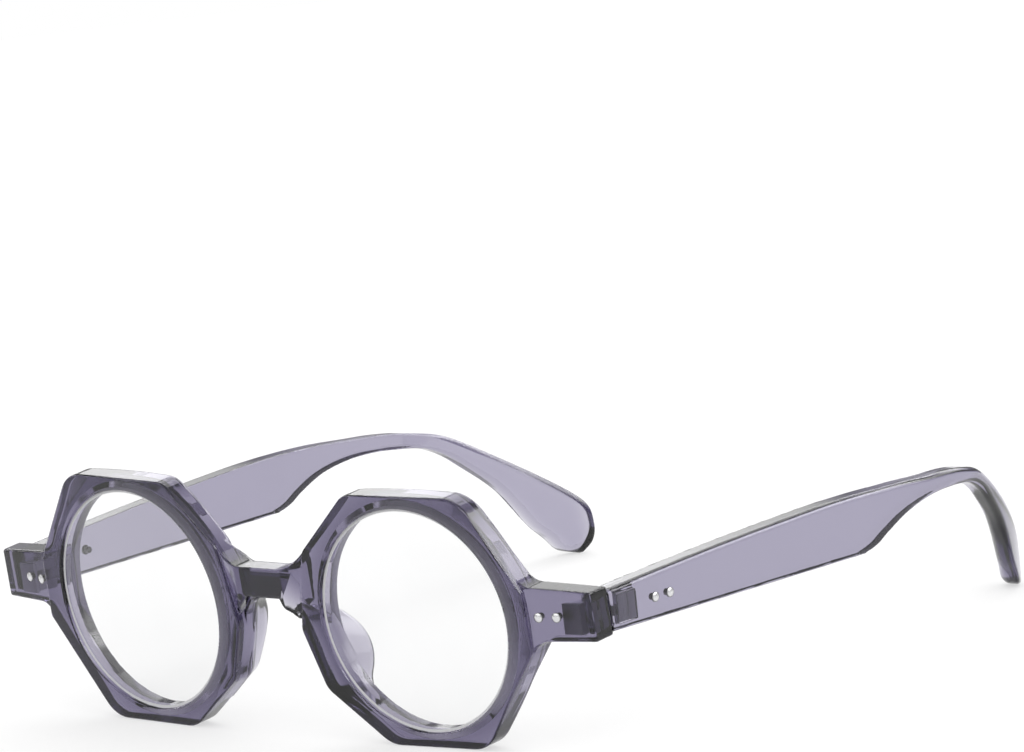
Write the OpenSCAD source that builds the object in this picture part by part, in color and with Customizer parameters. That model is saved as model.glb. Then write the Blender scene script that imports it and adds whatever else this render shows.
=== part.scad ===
// Eyeglasses with two round lenses in eight-sided rims, folding temples and barrel hinges.
// Millimetres. +Z is up, +Y runs back along the open temples, +X is the wearer's left.
// The origin is under the middle of the open glasses, on the surface that they rest on.

/* [Lens opening and rim] */
// Radius of the round lens opening
hole_r = 20.1; // [18:0.1:23]
// Distance between the two lens openings
bridge_span = 25.4; // [20:0.1:30]
// Height of the hinge line above the lens centres
lens_drop = 1.45; // [0:0.05:4]
// Thickness of the front
front_t = 4.4; // [3.8:0.1:5.6]
// Rim wall above the opening
wall_top = 2.3; // [2:0.1:4]
// Rim wall below the opening
wall_bottom = 2.6; // [2:0.1:4]
// Width of the rim face beside the opening, out to the crease
rim_face = 4.9; // [4.4:0.1:7]
// Angle from the lens centre to the outer end of the flat top edge
top_out_deg = 58.5; // [50:0.5:65]
// Angle from the lens centre to the inner end of the flat top edge
top_in_deg = 116.7; // [112:0.1:125]
// Angle below the lens centre to the inner end of the flat bottom edge
bottom_in_deg = 112.3; // [105:0.1:120]
// Angle below the lens centre to the outer end of the flat bottom edge
bottom_out_deg = 62.7; // [55:0.1:70]
// Angle below the lens centre to the lower corner of the nose side
nose_low_deg = 148.8; // [140:0.1:155]
// Angle above the lens centre where the upper slope meets the bridge crease
bridge_deg = 152.8; // [148:0.1:158]
// Rounding of a rim's top corner beside the bridge
top_in_round = 4; // [1:0.5:6]
// Rounding of a rim's top corner above the end piece
top_out_round = 6.5; // [1:0.5:8]
// Rounding of the two bottom corners of a rim
bottom_round = 6; // [3:0.5:8]
// Chamfer round the front of the opening
hole_chamfer = 0.35; // [0.1:0.05:0.6]

/* [Front shape] */
// Turn of each rim back from straight across, in degrees
wrap = 4; // [0:0.5:8]
// Lean of the front, top edge forward, in degrees
lean = 4.9; // [2:0.1:8]
// Height of the bridge's upper edge above the hinge line
bridge_top = 7.1; // [6:0.1:9]
// Height of the bridge's lower edge above the hinge line
bridge_low = 1.1; // [0:0.1:3]
// Half width of the flat middle face of the bridge
bridge_flat = 5.5; // [3:0.1:6]
// How far the bridge's face stands forward of where the rim faces meet
bridge_rise = 0.4; // [0:0.1:1.5]
// Depth of the creases beside the rims
crease_depth = 0.6; // [0.3:0.1:1]
// Fillet above the bridge, where it meets the rims
bridge_top_round = 8; // [4:0.5:10]
// Fillet under the bridge
bridge_arch_round = 5.5; // [3:0.5:7]
// Length of each end piece from the crease outward
end_len = 12.3; // [10.5:0.1:15]
// Height of the end piece above the hinge line at its outer end
end_up = 4.3; // [3.8:0.1:5.5]
// Height of the end piece below the hinge line
end_down = 4.4; // [3.8:0.1:5.5]
// Further turn of the end piece's face, in degrees
end_turn = 6.8; // [3:0.1:12]
// Fillet where the end piece meets the rim
end_round = 3.5; // [1.5:0.5:5]

/* [Lens] */
// Depth of the lens groove beyond the opening
groove_depth = 1.2; // [0.8:0.1:1.6]
// Width of the lens groove at its mouth
groove_w = 1.9; // [1.6:0.1:2.4]
// Gap between the lens edge and its groove
lens_gap = 0.08; // [0.04:0.02:0.16]
// Radius of the lens surfaces
lens_curve = 180; // [140:10:400]
// Thickness of the lens
lens_t = 1.7; // [1.2:0.1:2]

/* [Nose pads] */
// How far a pad stands out behind the rim
pad_depth = 7; // [5:0.1:8]
// How far a pad's rear edge leans away from the nose
pad_flare = 3.4; // [2:0.1:5]
// Thickness of a pad where it meets the rim
pad_root_t = 3; // [2:0.1:3.6]
// Thickness of a pad at its rear edge
pad_edge_t = 1.7; // [1:0.1:2.4]

/* [Temples] */
// Thickness of a temple
temple_t = 3.8; // [3:0.1:4.4]
// Outward run of a temple's straight part, in degrees
splay = 2; // [0:0.5:4]
// Length of the straight part, from the hinge pin
straight_len = 67; // [60:1:75]
// Radius of the inward curve behind the straight part
tip_curve_r = 97; // [90:1:130]
// Length of a temple behind the hinge pin, to the end of its tip
temple_len = 129; // [125:0.5:140]
// Height of the temple's upper edge above the hinge line at its front end
blade_up = 4.6; // [4:0.1:5.5]
// Height of the temple's upper edge at the widest place of the blade
blade_crest = 7.2; // [6:0.1:9]
// Depth of the temple's lower edge below the hinge line
blade_down = 3.1; // [2.9:0.1:4]
// Height of the narrow neck's lower edge above the hinge line
neck_low = 2.7; // [1.5:0.1:3.4]
// Gap between a temple's end and the end piece
butt_gap = 0.3; // [0.2:0.05:0.6]

/* [Hinges] */
// Distance of the hinge pin inboard of the front's outer end
pin_inset = 5.4; // [4.8:0.1:6]
// Distance of the hinge pin behind the end piece's back face
pin_behind = 2.7; // [2.4:0.1:3.2]
// Outer radius of a hinge knuckle
knuckle_r = 1.1; // [0.9:0.05:1.1]
// Gap between a knuckle and the temple beside it
knuckle_gap = 0.3; // [0.25:0.05:0.5]
// Height of the three knuckles together
hinge_h = 5.4; // [4.6:0.1:6]
// Gap between two knuckles
knuckle_play = 0.06; // [0.04:0.01:0.1]
// Radius of the hinge screw's shank
screw_r = 0.55; // [0.4:0.05:0.65]
// Running clearance round the hinge screw
screw_gap = 0.04; // [0.02:0.01:0.08]
// Radius of the hinge screw's head
head_r = 1.0; // [0.9:0.05:1.1]
// Thickness of the hinge screw's head
head_t = 0.6; // [0.4:0.05:0.8]
// Length of the hinge block sunk in the end piece
block_len = 3.8; // [3.4:0.1:4.4]
// Depth of the hinge block in the end piece
block_t = 2; // [1.4:0.1:2.2]
// Length of the hinge plate sunk in the temple
plate_len = 4.3; // [3.8:0.1:5.5]
// Depth of the hinge plate in the temple
plate_t = 2; // [1.4:0.1:2.2]
// Clearance round a sunk hinge part
seat_gap = 0.04; // [0.02:0.02:0.1]

/* [Rivets] */
// Radius of a rivet head
rivet_head_r = 0.88; // [0.8:0.02:1.1]
// Thickness of a rivet head at its middle
rivet_head_t = 0.6; // [0.5:0.05:0.8]
// How far the middle of a rivet head's dome stands proud
rivet_proud = 0.26; // [0.1:0.02:0.4]
// Radius of a rivet shank
rivet_r = 0.6; // [0.45:0.05:0.7]
// Length of a rivet, head included
rivet_len = 2.3; // [1.8:0.1:2.4]
// Clearance round a rivet
rivet_gap = 0.03; // [0.01:0.01:0.06]
// Distance of the first front rivet outward of the crease
front_rivet_at = 1.5; // [1.2:0.1:2]
// Distance between the two front rivets
front_rivet_step = 3.5; // [3:0.1:4]
// Distance of the first temple rivet behind the hinge pin
temple_rivet_at = 10; // [9.5:0.1:12]
// Distance between the two temple rivets
temple_rivet_step = 3.7; // [3:0.1:5]
// Height of the temple rivets above the hinge line
temple_rivet_up = 0.75; // [0:0.05:1.5]

/* [Hidden] */
$fn = 96;

// Reach of a cut past the face that it goes through
past = 5;

// Rim sizes, measured from the lens centre
crease_r = hole_r + rim_face;
groove_r = hole_r + groove_depth;
lens_u = hole_r + bridge_span / 2;
lens_x = lens_u * cos(wrap);
rim_up = hole_r + wall_top;
rim_down = hole_r + wall_bottom;
crease_overhang = 0.3;
nose_high_deg = 185.6;
side_up_deg = 13.7;
side_down_deg = 11.4;
nose_round = 4;

// Where the bridge's face ends inboard of the crease, and how far the bridge and the end piece reach
// into the opening before it is cut, as shares of its radius
valley_inset = 1.3;
bridge_reach = 0.2;
end_reach = 0.1;

// Share of the groove's width that its blunt bottom takes
v_blunt = 0.3;

// Corners of the outline, seen from the front, as x and z from the hinge line
function from_lens(r, deg) = [lens_x + r * cos(deg), r * sin(deg) - lens_drop];
function on_line(a, b, z) = [a.x + (b.x - a.x) * (z - a.y) / (b.y - a.y), z];
top_out = from_lens(rim_up / sin(top_out_deg), top_out_deg);
top_in = from_lens(rim_up / sin(top_in_deg), top_in_deg);
bottom_in = from_lens(rim_down / sin(bottom_in_deg), -bottom_in_deg);
bottom_out = from_lens(rim_down / sin(bottom_out_deg), -bottom_out_deg);
nose_low = from_lens(crease_r + crease_overhang, -nose_low_deg);
nose_high = from_lens(crease_r + crease_overhang, nose_high_deg);
bridge_end = from_lens(crease_r + crease_overhang, bridge_deg);
side_up = from_lens(crease_r, side_up_deg);
side_down = from_lens(crease_r, -side_down_deg);

// End piece
crease_x = lens_x + crease_r;
end_x = crease_x + end_len;
end_top_fall = 1.1;
end_corner_round = 0.5;
end_slope = tan(wrap + end_turn);
end_extra_depth = 0.2;
end_face_y = crease_x * tan(wrap) + crease_depth + end_extra_depth;
end_t = front_t / cos(wrap + end_turn);
function end_front_y(x) = end_face_y + (x - crease_x) * end_slope;
function rim_front_y(x) = x * tan(wrap);
rim_t = front_t / cos(wrap);

// Hinge pin, and the height of the hinge line over the surface that the rims and tips stand on
pin_x = end_x - pin_inset;
pin_y = end_front_y(pin_x) + end_t + pin_behind;
rest_x = bottom_in.x + bottom_round / 2;
hinge_z = (lens_drop + rim_down) * cos(lean) - rest_x * tan(wrap) * sin(lean);
tip_y = pin_y + temple_len;
front_y = -bridge_rise * cos(lean) - bridge_top * sin(lean);
mid_y = (tip_y + front_y) / 2;

// Knuckles, screw and rivets
knuckle_h = (hinge_h - 2 * knuckle_play) / 3;
screw_bore_r = screw_r + screw_gap;
slot_w = 0.3;
slot_depth = 0.25;
rivet_dome = 0.24;
block_recess = 0.2;
block_down = hinge_h / 2;
block_y = pin_y - pin_behind - block_t;
plate_half_h = 2.4;
plate_up = 0.5;
block_reach_in = 2.1;
temple_in = knuckle_r + knuckle_gap;
plate_start = 1.6;
arm_rise = 0.4;
arm_len = 3;

// Places a piece given from the hinge line's height and the front's middle
module stand() {
    translate([0, -mid_y, hinge_z]) children();
}

// Leans a piece of the front
module lean_front() {
    stand() rotate([lean, 0, 0]) children();
}

// Picks the wearer's left side, +X, or its mirror image
module on_side(left) {
    mirror([left ? 0 : 1, 0, 0]) children();
}

// Turns an outline in x and z into a solid that runs from y0 back to y1
module run_back(y0, y1) {
    translate([0, y1, 0]) rotate([90, 0, 0]) linear_extrude(height = y1 - y0) children();
}

// Turns a plan in x and y into a solid that runs from z0 up to z1
module run_up(z0, z1) {
    translate([0, 0, z0]) linear_extrude(height = z1 - z0) children();
}

// Sets a lens centre at the origin, with the lens axis along z and the front face at z = 0
module at_lens() {
    rotate([0, 0, wrap]) translate([lens_u, 0, -lens_drop]) rotate([-90, 0, 0]) children();
}

// A polygon with each corner rounded by its own radius
function unit(v) = v / norm(v);
function corner_arc(a, b, c, r, n = 8) =
    let (u = unit(a - b))
    let (v = unit(c - b))
    let (half = acos(u * v) / 2)
    let (start = b + u * r / tan(half))
    let (end = b + v * r / tan(half))
    let (mid = b + unit(u + v) * r / sin(half))
    let (a0 = atan2(start.y - mid.y, start.x - mid.x))
    let (a1 = atan2(end.y - mid.y, end.x - mid.x))
    let (sweep = (a1 - a0 + 540) % 360 - 180)
    [for (i = [0:n]) mid + r * [cos(a0 + sweep * i / n), sin(a0 + sweep * i / n)]];
function rounded(p, r) =
    [for (i = [0:len(p) - 1])
        each r[i] > 0
            ? corner_arc(p[(i + len(p) - 1) % len(p)], p[i], p[(i + 1) % len(p)], r[i])
            : [p[i]]];

// A smooth curve through points chosen by hand
function curve_point(a, b, c, d, t) =
    0.5 * (2 * b + (c - a) * t + (2 * a - 5 * b + 4 * c - d) * t * t
        + (3 * b - a - 3 * c + d) * t * t * t);
function curve(p, n = 5) =
    [for (i = [0:len(p) - 2])
        for (k = [0:n - 1])
            curve_point(p[max(i - 1, 0)], p[i], p[i + 1], p[min(i + 2, len(p) - 1)], k / n),
        p[len(p) - 1]];

// The wearer's left half of the front, seen from the front
half_corners = [
    [0, bridge_top],
    on_line(bridge_end, top_in, bridge_top),
    top_in,
    top_out,
    on_line(top_out, side_up, end_up + end_top_fall),
    [end_x, end_up],
    [end_x, -end_down],
    on_line(side_down, bottom_out, -end_down),
    bottom_out,
    bottom_in,
    nose_low,
    on_line(nose_low, nose_high, bridge_low),
    [0, bridge_low]
];
half_rounds = [
    0, bridge_top_round, top_in_round, top_out_round, end_round, end_corner_round,
    end_corner_round, end_round, bottom_round, bottom_round, nose_round, bridge_arch_round, 0
];

half_curve = rounded(half_corners, half_rounds);

module half_outline() {
    polygon(half_curve);
}

module outline() {
    polygon(concat(
        [for (i = [1:len(half_curve) - 2]) half_curve[i]],
        [for (i = [len(half_curve) - 2:-1:1]) [-half_curve[i].x, half_curve[i].y]]
    ));
}

// The rim's own face reaches the crease at its sides, and the outline above and below
module rim_region() {
    translate([lens_x, -lens_drop]) {
        circle(r = crease_r);
        for (s = [-1, 1])
            translate([0, s * crease_r]) square([2 * crease_r, 1.2 * crease_r], center = true);
    }
}

module rim_plate() {
    intersection() {
        run_back(-past, crease_x) intersection() {
            half_outline();
            rim_region();
        }
        run_up(-2 * crease_r, 2 * crease_r) polygon([
            [0, 0],
            [crease_x + past, rim_front_y(crease_x + past)],
            [crease_x + past, rim_front_y(crease_x + past) + rim_t],
            [0, rim_t]
        ]);
    }
}

// The bridge bar: a flat middle face that falls back to the crease beside each rim
module bridge() {
    valley_x = bridge_end.x - valley_inset;
    inside_x = lens_x - (1 - bridge_reach) * hole_r;
    right_side = [
        [bridge_flat, -bridge_rise],
        [valley_x, rim_front_y(valley_x) + crease_depth],
        [inside_x, rim_front_y(inside_x) + crease_depth],
        [inside_x, rim_front_y(inside_x) + rim_t]
    ];
    left_side = [for (i = [len(right_side) - 1:-1:0]) [-right_side[i].x, right_side[i].y]];
    intersection() {
        run_back(-past, crease_x) outline();
        run_up(-crease_r / 2, crease_r) polygon(concat(right_side, [[0, rim_t]], left_side));
    }
}

module end_piece() {
    inside_x = lens_x + (1 - end_reach) * hole_r;
    intersection() {
        run_back(-past, crease_x) half_outline();
        run_up(-crease_r / 2, crease_r / 2) polygon([
            [inside_x, rim_front_y(inside_x) + crease_depth + end_extra_depth],
            [crease_x, end_front_y(crease_x)],
            [end_x, end_front_y(end_x)],
            [end_x, end_front_y(end_x) + end_t],
            [crease_x, end_front_y(crease_x) + end_t],
            [inside_x, rim_front_y(inside_x) + rim_t]
        ]);
    }
}

// Opening, chamfer and groove, all round the lens axis
module lens_cut() {
    at_lens() {
        translate([0, 0, -past]) cylinder(r = hole_r, h = front_t + 2 * past);
        translate([0, 0, -hole_chamfer])
            cylinder(r1 = hole_r + 2 * hole_chamfer, r2 = hole_r, h = 2 * hole_chamfer);
        groove_shape(groove_r, groove_w);
    }
}

// A ring with a blunt V edge, centred in the thickness of the front
module groove_shape(r, w) {
    translate([0, 0, front_t / 2])
        rotate_extrude()
            polygon([
                [hole_r - groove_depth, -w / 2],
                [hole_r, -w / 2],
                [r, -w / 2 * v_blunt],
                [r, w / 2 * v_blunt],
                [hole_r, w / 2],
                [hole_r - groove_depth, w / 2]
            ]);
}

// Places a rivet's head on the end piece's face, with its shank along z into the plastic
module at_front_rivet(step) {
    x = crease_x + front_rivet_at + step;
    translate([x, end_front_y(x), 0]) rotate([0, 0, wrap + end_turn]) rotate([-90, 0, 0]) children();
}

module rivet_cut() {
    translate([0, 0, -past]) cylinder(r = rivet_head_r + rivet_gap, h = past + rivet_head_t - rivet_proud);
    cylinder(r = rivet_r + rivet_gap, h = rivet_len);
}

module rivet_shape() {
    dome_r = (rivet_head_r * rivet_head_r + rivet_dome * rivet_dome) / (2 * rivet_dome);
    color("silver") {
        intersection() {
            translate([0, 0, -rivet_proud]) cylinder(r = rivet_head_r, h = rivet_head_t);
            translate([0, 0, dome_r - rivet_proud]) sphere(r = dome_r);
        }
        cylinder(r = rivet_r, h = rivet_len - rivet_proud);
    }
}

// Space for the hinge block in the back of the end piece
module block_cut() {
    translate([pin_x - block_reach_in - seat_gap, block_y, -block_down - seat_gap])
        cube([block_len + 2 * seat_gap, block_t + past, 2 * (block_down + seat_gap)]);
}

module front_frame() {
    color([0.47, 0.46, 0.55, 0.7]) stand() difference() {
        rotate([lean, 0, 0]) difference() {
            union() {
                bridge();
                for (left = [true, false]) on_side(left) {
                    rim_plate();
                    end_piece();
                }
            }
            for (left = [true, false]) on_side(left) {
                lens_cut();
                for (i = [0, 1]) at_front_rivet(i * front_rivet_step) rivet_cut();
            }
        }
        for (left = [true, false]) on_side(left) block_cut();
    }
}

// A meniscus lens with a blunt V edge that sits in the rim's groove
module lens(left) {
    sag = lens_curve - sqrt(lens_curve * lens_curve - hole_r * hole_r);
    rise = front_t / 2 - lens_t / 2 - sag;
    color([0.92, 0.95, 0.97, 0.35]) lean_front() on_side(left) at_lens() {
        difference() {
            intersection() {
                translate([0, 0, rise + lens_curve]) sphere(r = lens_curve);
                cylinder(r = hole_r - lens_gap, h = front_t);
            }
            translate([0, 0, rise + lens_t + lens_curve]) sphere(r = lens_curve);
        }
        lens_edge();
    }
}

// The lens's rim inside the groove
module lens_edge() {
    inner_r = hole_r - groove_depth;
    edge_r = groove_r - lens_gap;
    edge_w = groove_w - 2 * lens_gap;
    translate([0, 0, front_t / 2])
        rotate_extrude()
            polygon([
                [inner_r, -lens_t / 3],
                [hole_r - lens_gap, -edge_w / 2],
                [edge_r, -edge_w / 2 * v_blunt],
                [edge_r, edge_w / 2 * v_blunt],
                [hole_r - lens_gap, edge_w / 2],
                [inner_r, lens_t / 3]
            ]);
}

// Nose side of the outline at a height above the hinge line
function nose_side_x(z) =
    z > nose_low.y
        ? on_line(nose_low, nose_high, z).x
        : on_line(nose_low, bottom_in, z).x;

// A solid skinned over rings of points, closed by its first and last ring
module skin(rings) {
    n = len(rings[0]);
    last = len(rings) - 1;
    polyhedron(
        points = [for (ring = rings) each ring],
        faces = [
            [for (k = [n - 1:-1:0]) k],
            [for (k = [0:n - 1]) last * n + k],
            for (i = [0:last - 1])
                for (k = [0:n - 1])
                    each [
                        [i * n + k, i * n + (k + 1) % n, (i + 1) * n + k],
                        [i * n + (k + 1) % n, (i + 1) * n + (k + 1) % n, (i + 1) * n + k]
                    ]
        ]
    );
}

// A wing behind the nose side, deepest in its upper half, that leans further out lower down
module nose_pad(left) {
    z_top = bridge_low - 1;
    z_low = (nose_low.y + bottom_in.y) / 2;
    steps = 16;
    inset = 0.15;
    swell_skew = 0.8;
    swell_fullness = 0.9;
    flare_at_top = 0.85;
    flare_growth = 0.55;
    bow = 0.25;
    color([0.62, 0.61, 0.68, 0.7]) lean_front() on_side(left) skin([
        for (i = [0:steps])
            let (t = i / steps)
            let (z = z_top + (z_low - z_top) * t)
            let (swell = pow(sin(180 * pow(0.03 + 0.94 * t, swell_skew)), swell_fullness))
            let (x = nose_side_x(z) + inset)
            let (root = rim_front_y(x) + rim_t)
            let (wide = pad_root_t * (0.45 + 0.55 * swell))
            let (edge = pad_edge_t * (0.35 + 0.65 * swell) / 2)
            let (back = root + pad_depth * swell)
            let (rear = x + pad_flare * (flare_at_top + flare_growth * t) * swell)
            [
                [x, root, z],
                [x + wide, root + wide * tan(wrap), z],
                [(x + wide + rear + edge) / 2 + bow, (root + back) / 2, z],
                [rear + edge, back - edge, z],
                [rear + edge * 0.6, back - edge * 0.25, z],
                [rear, back, z],
                [rear - edge * 0.7, back - edge * 0.25, z],
                [rear - edge * 1.2, back - edge, z],
                [(x + rear - edge) / 2 - 2 * bow, (root + back) / 2, z]
            ]
    ]);
}

// Front leaf: a block sunk in the end piece and two knuckles that carry the pin
module front_hinge(left) {
    arm_y = block_y + block_t / 2;
    color([0.35, 0.35, 0.38]) stand() on_side(left) difference() {
        union() {
            translate([pin_x - block_reach_in, block_y, -block_down])
                cube([block_len, block_t - block_recess, 2 * block_down]);
            for (z = [-hinge_h / 2, hinge_h / 2 - knuckle_h])
                run_knuckle(z) {
                    circle(r = knuckle_r);
                    translate([-knuckle_r, arm_y - pin_y]) square([2 * knuckle_r, pin_y - arm_y]);
                }
        }
        pin_cut();
    }
}

module run_knuckle(z) {
    translate([pin_x, pin_y, z]) linear_extrude(height = knuckle_h) children();
}

module pin_cut() {
    translate([pin_x, pin_y, -hinge_h]) cylinder(r = screw_bore_r, h = 2 * hinge_h);
}

// Slotted screw from above, seated on the upper knuckle
module hinge_screw(left) {
    color("silver") stand() on_side(left) translate([pin_x, pin_y, 0]) difference() {
        union() {
            translate([0, 0, -hinge_h / 2]) cylinder(r = screw_r, h = hinge_h);
            translate([0, 0, hinge_h / 2]) cylinder(r = head_r, h = head_t);
        }
        translate([-head_r * 1.5, -slot_w / 2, hinge_h / 2 + head_t - slot_depth])
            cube([3 * head_r, slot_w, past]);
    }
}

// Runs along the straight part of a temple from the pin, x outward and y back
module along_temple() {
    translate([pin_x, pin_y, 0]) rotate([0, 0, -splay]) children();
}

// Temple leaf: a plate sunk in the temple and the middle knuckle
module temple_hinge(left) {
    color([0.35, 0.35, 0.38]) stand() on_side(left) difference() {
        union() {
            along_temple()
                translate([temple_in, plate_start, plate_up - plate_half_h])
                    cube([plate_t, plate_len, 2 * plate_half_h]);
            translate([0, 0, -knuckle_h / 2]) along_temple() linear_extrude(height = knuckle_h) {
                circle(r = knuckle_r);
                polygon([
                    [-knuckle_r * 0.8, knuckle_r * 0.6],
                    [knuckle_r, 0],
                    [knuckle_r, plate_start],
                    [temple_in + plate_t / 2, plate_start + arm_rise],
                    [temple_in + plate_t / 2, plate_start + arm_len],
                    [temple_in - knuckle_gap, plate_start + arm_len]
                ]);
            }
        }
        pin_cut();
    }
}

// Space for the hinge plate in the temple's inner face
module plate_cut() {
    along_temple()
        translate([temple_in - past, plate_start - seat_gap, plate_up - plate_half_h - seat_gap])
            cube([plate_t + past, plate_len + 2 * seat_gap, 2 * (plate_half_h + seat_gap)]);
}

// Places a rivet's head on the temple's outer face, with its shank along z into the plastic
module at_temple_rivet(step) {
    along_temple()
        translate([temple_in + temple_t, temple_rivet_at + step, temple_rivet_up])
            rotate([0, -90, 0])
                children();
}

// Side view of a temple: distance back from the pin as a share of the temple's length, and height
// above the hinge line
function blade_at(share, up) = [share * temple_len, up];
blade_top_curve = curve([
    [-pin_y, 0.8 * blade_up],
    blade_at(0.1705, 0.82 * blade_crest),
    blade_at(0.372, 0.972 * blade_crest),
    blade_at(0.473, blade_crest),
    blade_at(0.5775, 0.944 * blade_crest),
    blade_at(0.651, 0.847 * blade_crest),
    blade_at(0.7055, 0.778 * blade_crest),
    blade_at(0.76, 1.69 * neck_low),
    blade_at(0.8125, 0.96 * neck_low),
    blade_at(0.882, -0.117 * hinge_z),
    blade_at(0.947, -0.368 * hinge_z),
    blade_at(0.99, -0.5815 * hinge_z),
    blade_at(0.9992, -0.7655 * hinge_z),
    blade_at(0.9955, -0.908 * hinge_z),
    blade_at(0.9815, -hinge_z)
]);
blade_low_curve = curve([
    blade_at(0.9815, -hinge_z),
    blade_at(0.961, -0.958 * hinge_z),
    blade_at(0.946, -0.8535 * hinge_z),
    blade_at(0.9287, -0.7447 * hinge_z),
    blade_at(0.907, -0.569 * hinge_z),
    blade_at(0.879, -0.368 * hinge_z),
    blade_at(0.8388, -0.1673 * hinge_z),
    blade_at(0.8093, -0.0377 * hinge_z),
    blade_at(0.7737, 0.4615 * neck_low),
    blade_at(0.7256, 0.846 * neck_low),
    blade_at(0.6822, neck_low),
    blade_at(0.6357, 0.885 * neck_low),
    blade_at(0.589, 0.46 * neck_low),
    blade_at(0.5465, -0.28 * blade_down),
    blade_at(0.5215, -0.79 * blade_down),
    blade_at(0.496, -1.06 * blade_down),
    blade_at(0.465, -1.1 * blade_down),
    [-pin_y, -0.903 * blade_down]
]);

module blade_profile() {
    polygon(concat(blade_top_curve, blade_low_curve));
}

// Plan of a temple: a straight run, then an exact arc that turns inward
module blade_plan() {
    translate([temple_in, -pin_y]) square([temple_t, straight_len + pin_y]);
    translate([temple_in + temple_t / 2 - tip_curve_r, straight_len]) intersection() {
        difference() {
            circle(r = tip_curve_r + temple_t / 2, $fn = 360);
            circle(r = tip_curve_r - temple_t / 2, $fn = 360);
        }
        square([2 * tip_curve_r, 2 * tip_curve_r]);
    }
}

// The front end of a temple follows the end piece's back face across a small gap
module butt_cut() {
    rotate([lean, 0, 0])
        run_up(-crease_r, crease_r)
            polygon([
                [crease_x, -past],
                [2 * crease_x, -past],
                [2 * crease_x, end_front_y(2 * crease_x) + end_t + butt_gap],
                [crease_x, end_front_y(crease_x) + end_t + butt_gap]
            ]);
}

module temple(left) {
    color([0.66, 0.64, 0.71, 0.7]) stand() on_side(left) difference() {
        intersection() {
            translate([0, pin_y, 0])
                rotate([90, 0, 90])
                    linear_extrude(height = 2 * crease_x)
                        blade_profile();
            translate([0, 0, -2 * crease_r])
                along_temple()
                    linear_extrude(height = 4 * crease_r)
                        blade_plan();
        }
        butt_cut();
        plate_cut();
        for (i = [0, 1]) at_temple_rivet(i * temple_rivet_step) rivet_cut();
    }
}

front_frame();
lens(true);  // left_lens
lens(false);  // right_lens
nose_pad(true);  // left_nose_pad
nose_pad(false);  // right_nose_pad
front_hinge(true);  // left_front_hinge
front_hinge(false);  // right_front_hinge
hinge_screw(true);  // left_hinge_screw
hinge_screw(false);  // right_hinge_screw
lean_front() at_front_rivet(0) rivet_shape();  // left_front_rivet_inner
lean_front() at_front_rivet(front_rivet_step) rivet_shape();  // left_front_rivet_outer
lean_front() on_side(false) at_front_rivet(0) rivet_shape();  // right_front_rivet_inner
lean_front() on_side(false) at_front_rivet(front_rivet_step) rivet_shape();  // right_front_rivet_outer
temple(true);  // left_temple
temple_hinge(true);  // left_temple_hinge
stand() at_temple_rivet(0) rivet_shape();  // left_temple_rivet_front
stand() at_temple_rivet(temple_rivet_step) rivet_shape();  // left_temple_rivet_rear
temple(false);  // right_temple
temple_hinge(false);  // right_temple_hinge
stand() on_side(false) at_temple_rivet(0) rivet_shape();  // right_temple_rivet_front
stand() on_side(false) at_temple_rivet(temple_rivet_step) rivet_shape();  // right_temple_rivet_rear
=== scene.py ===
import math

import bpy
import numpy as np
from mathutils import Matrix, Vector


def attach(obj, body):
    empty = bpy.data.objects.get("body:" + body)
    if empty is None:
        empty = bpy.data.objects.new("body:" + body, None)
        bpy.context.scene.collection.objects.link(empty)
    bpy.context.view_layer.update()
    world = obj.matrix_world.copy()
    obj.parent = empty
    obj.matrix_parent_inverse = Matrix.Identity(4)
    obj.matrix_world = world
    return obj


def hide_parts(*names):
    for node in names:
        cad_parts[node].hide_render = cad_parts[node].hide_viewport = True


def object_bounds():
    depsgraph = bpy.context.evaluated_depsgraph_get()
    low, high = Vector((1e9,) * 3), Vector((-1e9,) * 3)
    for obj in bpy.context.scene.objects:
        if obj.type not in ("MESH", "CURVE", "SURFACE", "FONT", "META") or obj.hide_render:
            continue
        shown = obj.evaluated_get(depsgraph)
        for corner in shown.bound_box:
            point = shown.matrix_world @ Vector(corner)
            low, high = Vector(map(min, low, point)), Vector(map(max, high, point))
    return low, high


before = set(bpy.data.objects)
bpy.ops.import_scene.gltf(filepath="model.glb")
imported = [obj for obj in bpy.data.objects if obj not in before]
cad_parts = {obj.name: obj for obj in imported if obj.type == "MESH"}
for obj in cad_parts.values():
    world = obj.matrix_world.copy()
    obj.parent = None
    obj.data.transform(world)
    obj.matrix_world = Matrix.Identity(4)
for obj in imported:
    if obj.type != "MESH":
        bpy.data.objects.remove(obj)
cad_low, cad_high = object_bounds()

MM = 0.001

# Sizes in millimetres, as in the CAD source
HOLE_R = 20.1
BRIDGE_SPAN = 25.4
LENS_DROP = 1.45
LENS_GAP = 0.08
FRONT_T = 4.4
WALL_TOP = 2.3
WALL_BOTTOM = 2.6
WALL_SIDE = 4.9
WRAP = math.radians(4)
LEAN = math.radians(4.9)
OVERHANG = 0.3
BRIDGE_TOP = 7.1
BRIDGE_LOW = 1.1
BRIDGE_FLAT = 5.5
BRIDGE_RISE = 0.4
CREASE_DEPTH = 0.6
VALLEY_SHIFT = 0.4
END_LEN = 12.3
END_UP = 4.3
END_DOWN = 4.4
END_TURN = math.radians(6.8)
END_TOP_FALL = 1.1
END_EXTRA_DEPTH = 0.2
REST_INSET = 3
PIN_INSET = 5.4
PIN_BEHIND = 2.7
KNUCKLE_R = 1.1
KNUCKLE_GAP = 0.3
PLATE_T = 2

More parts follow.
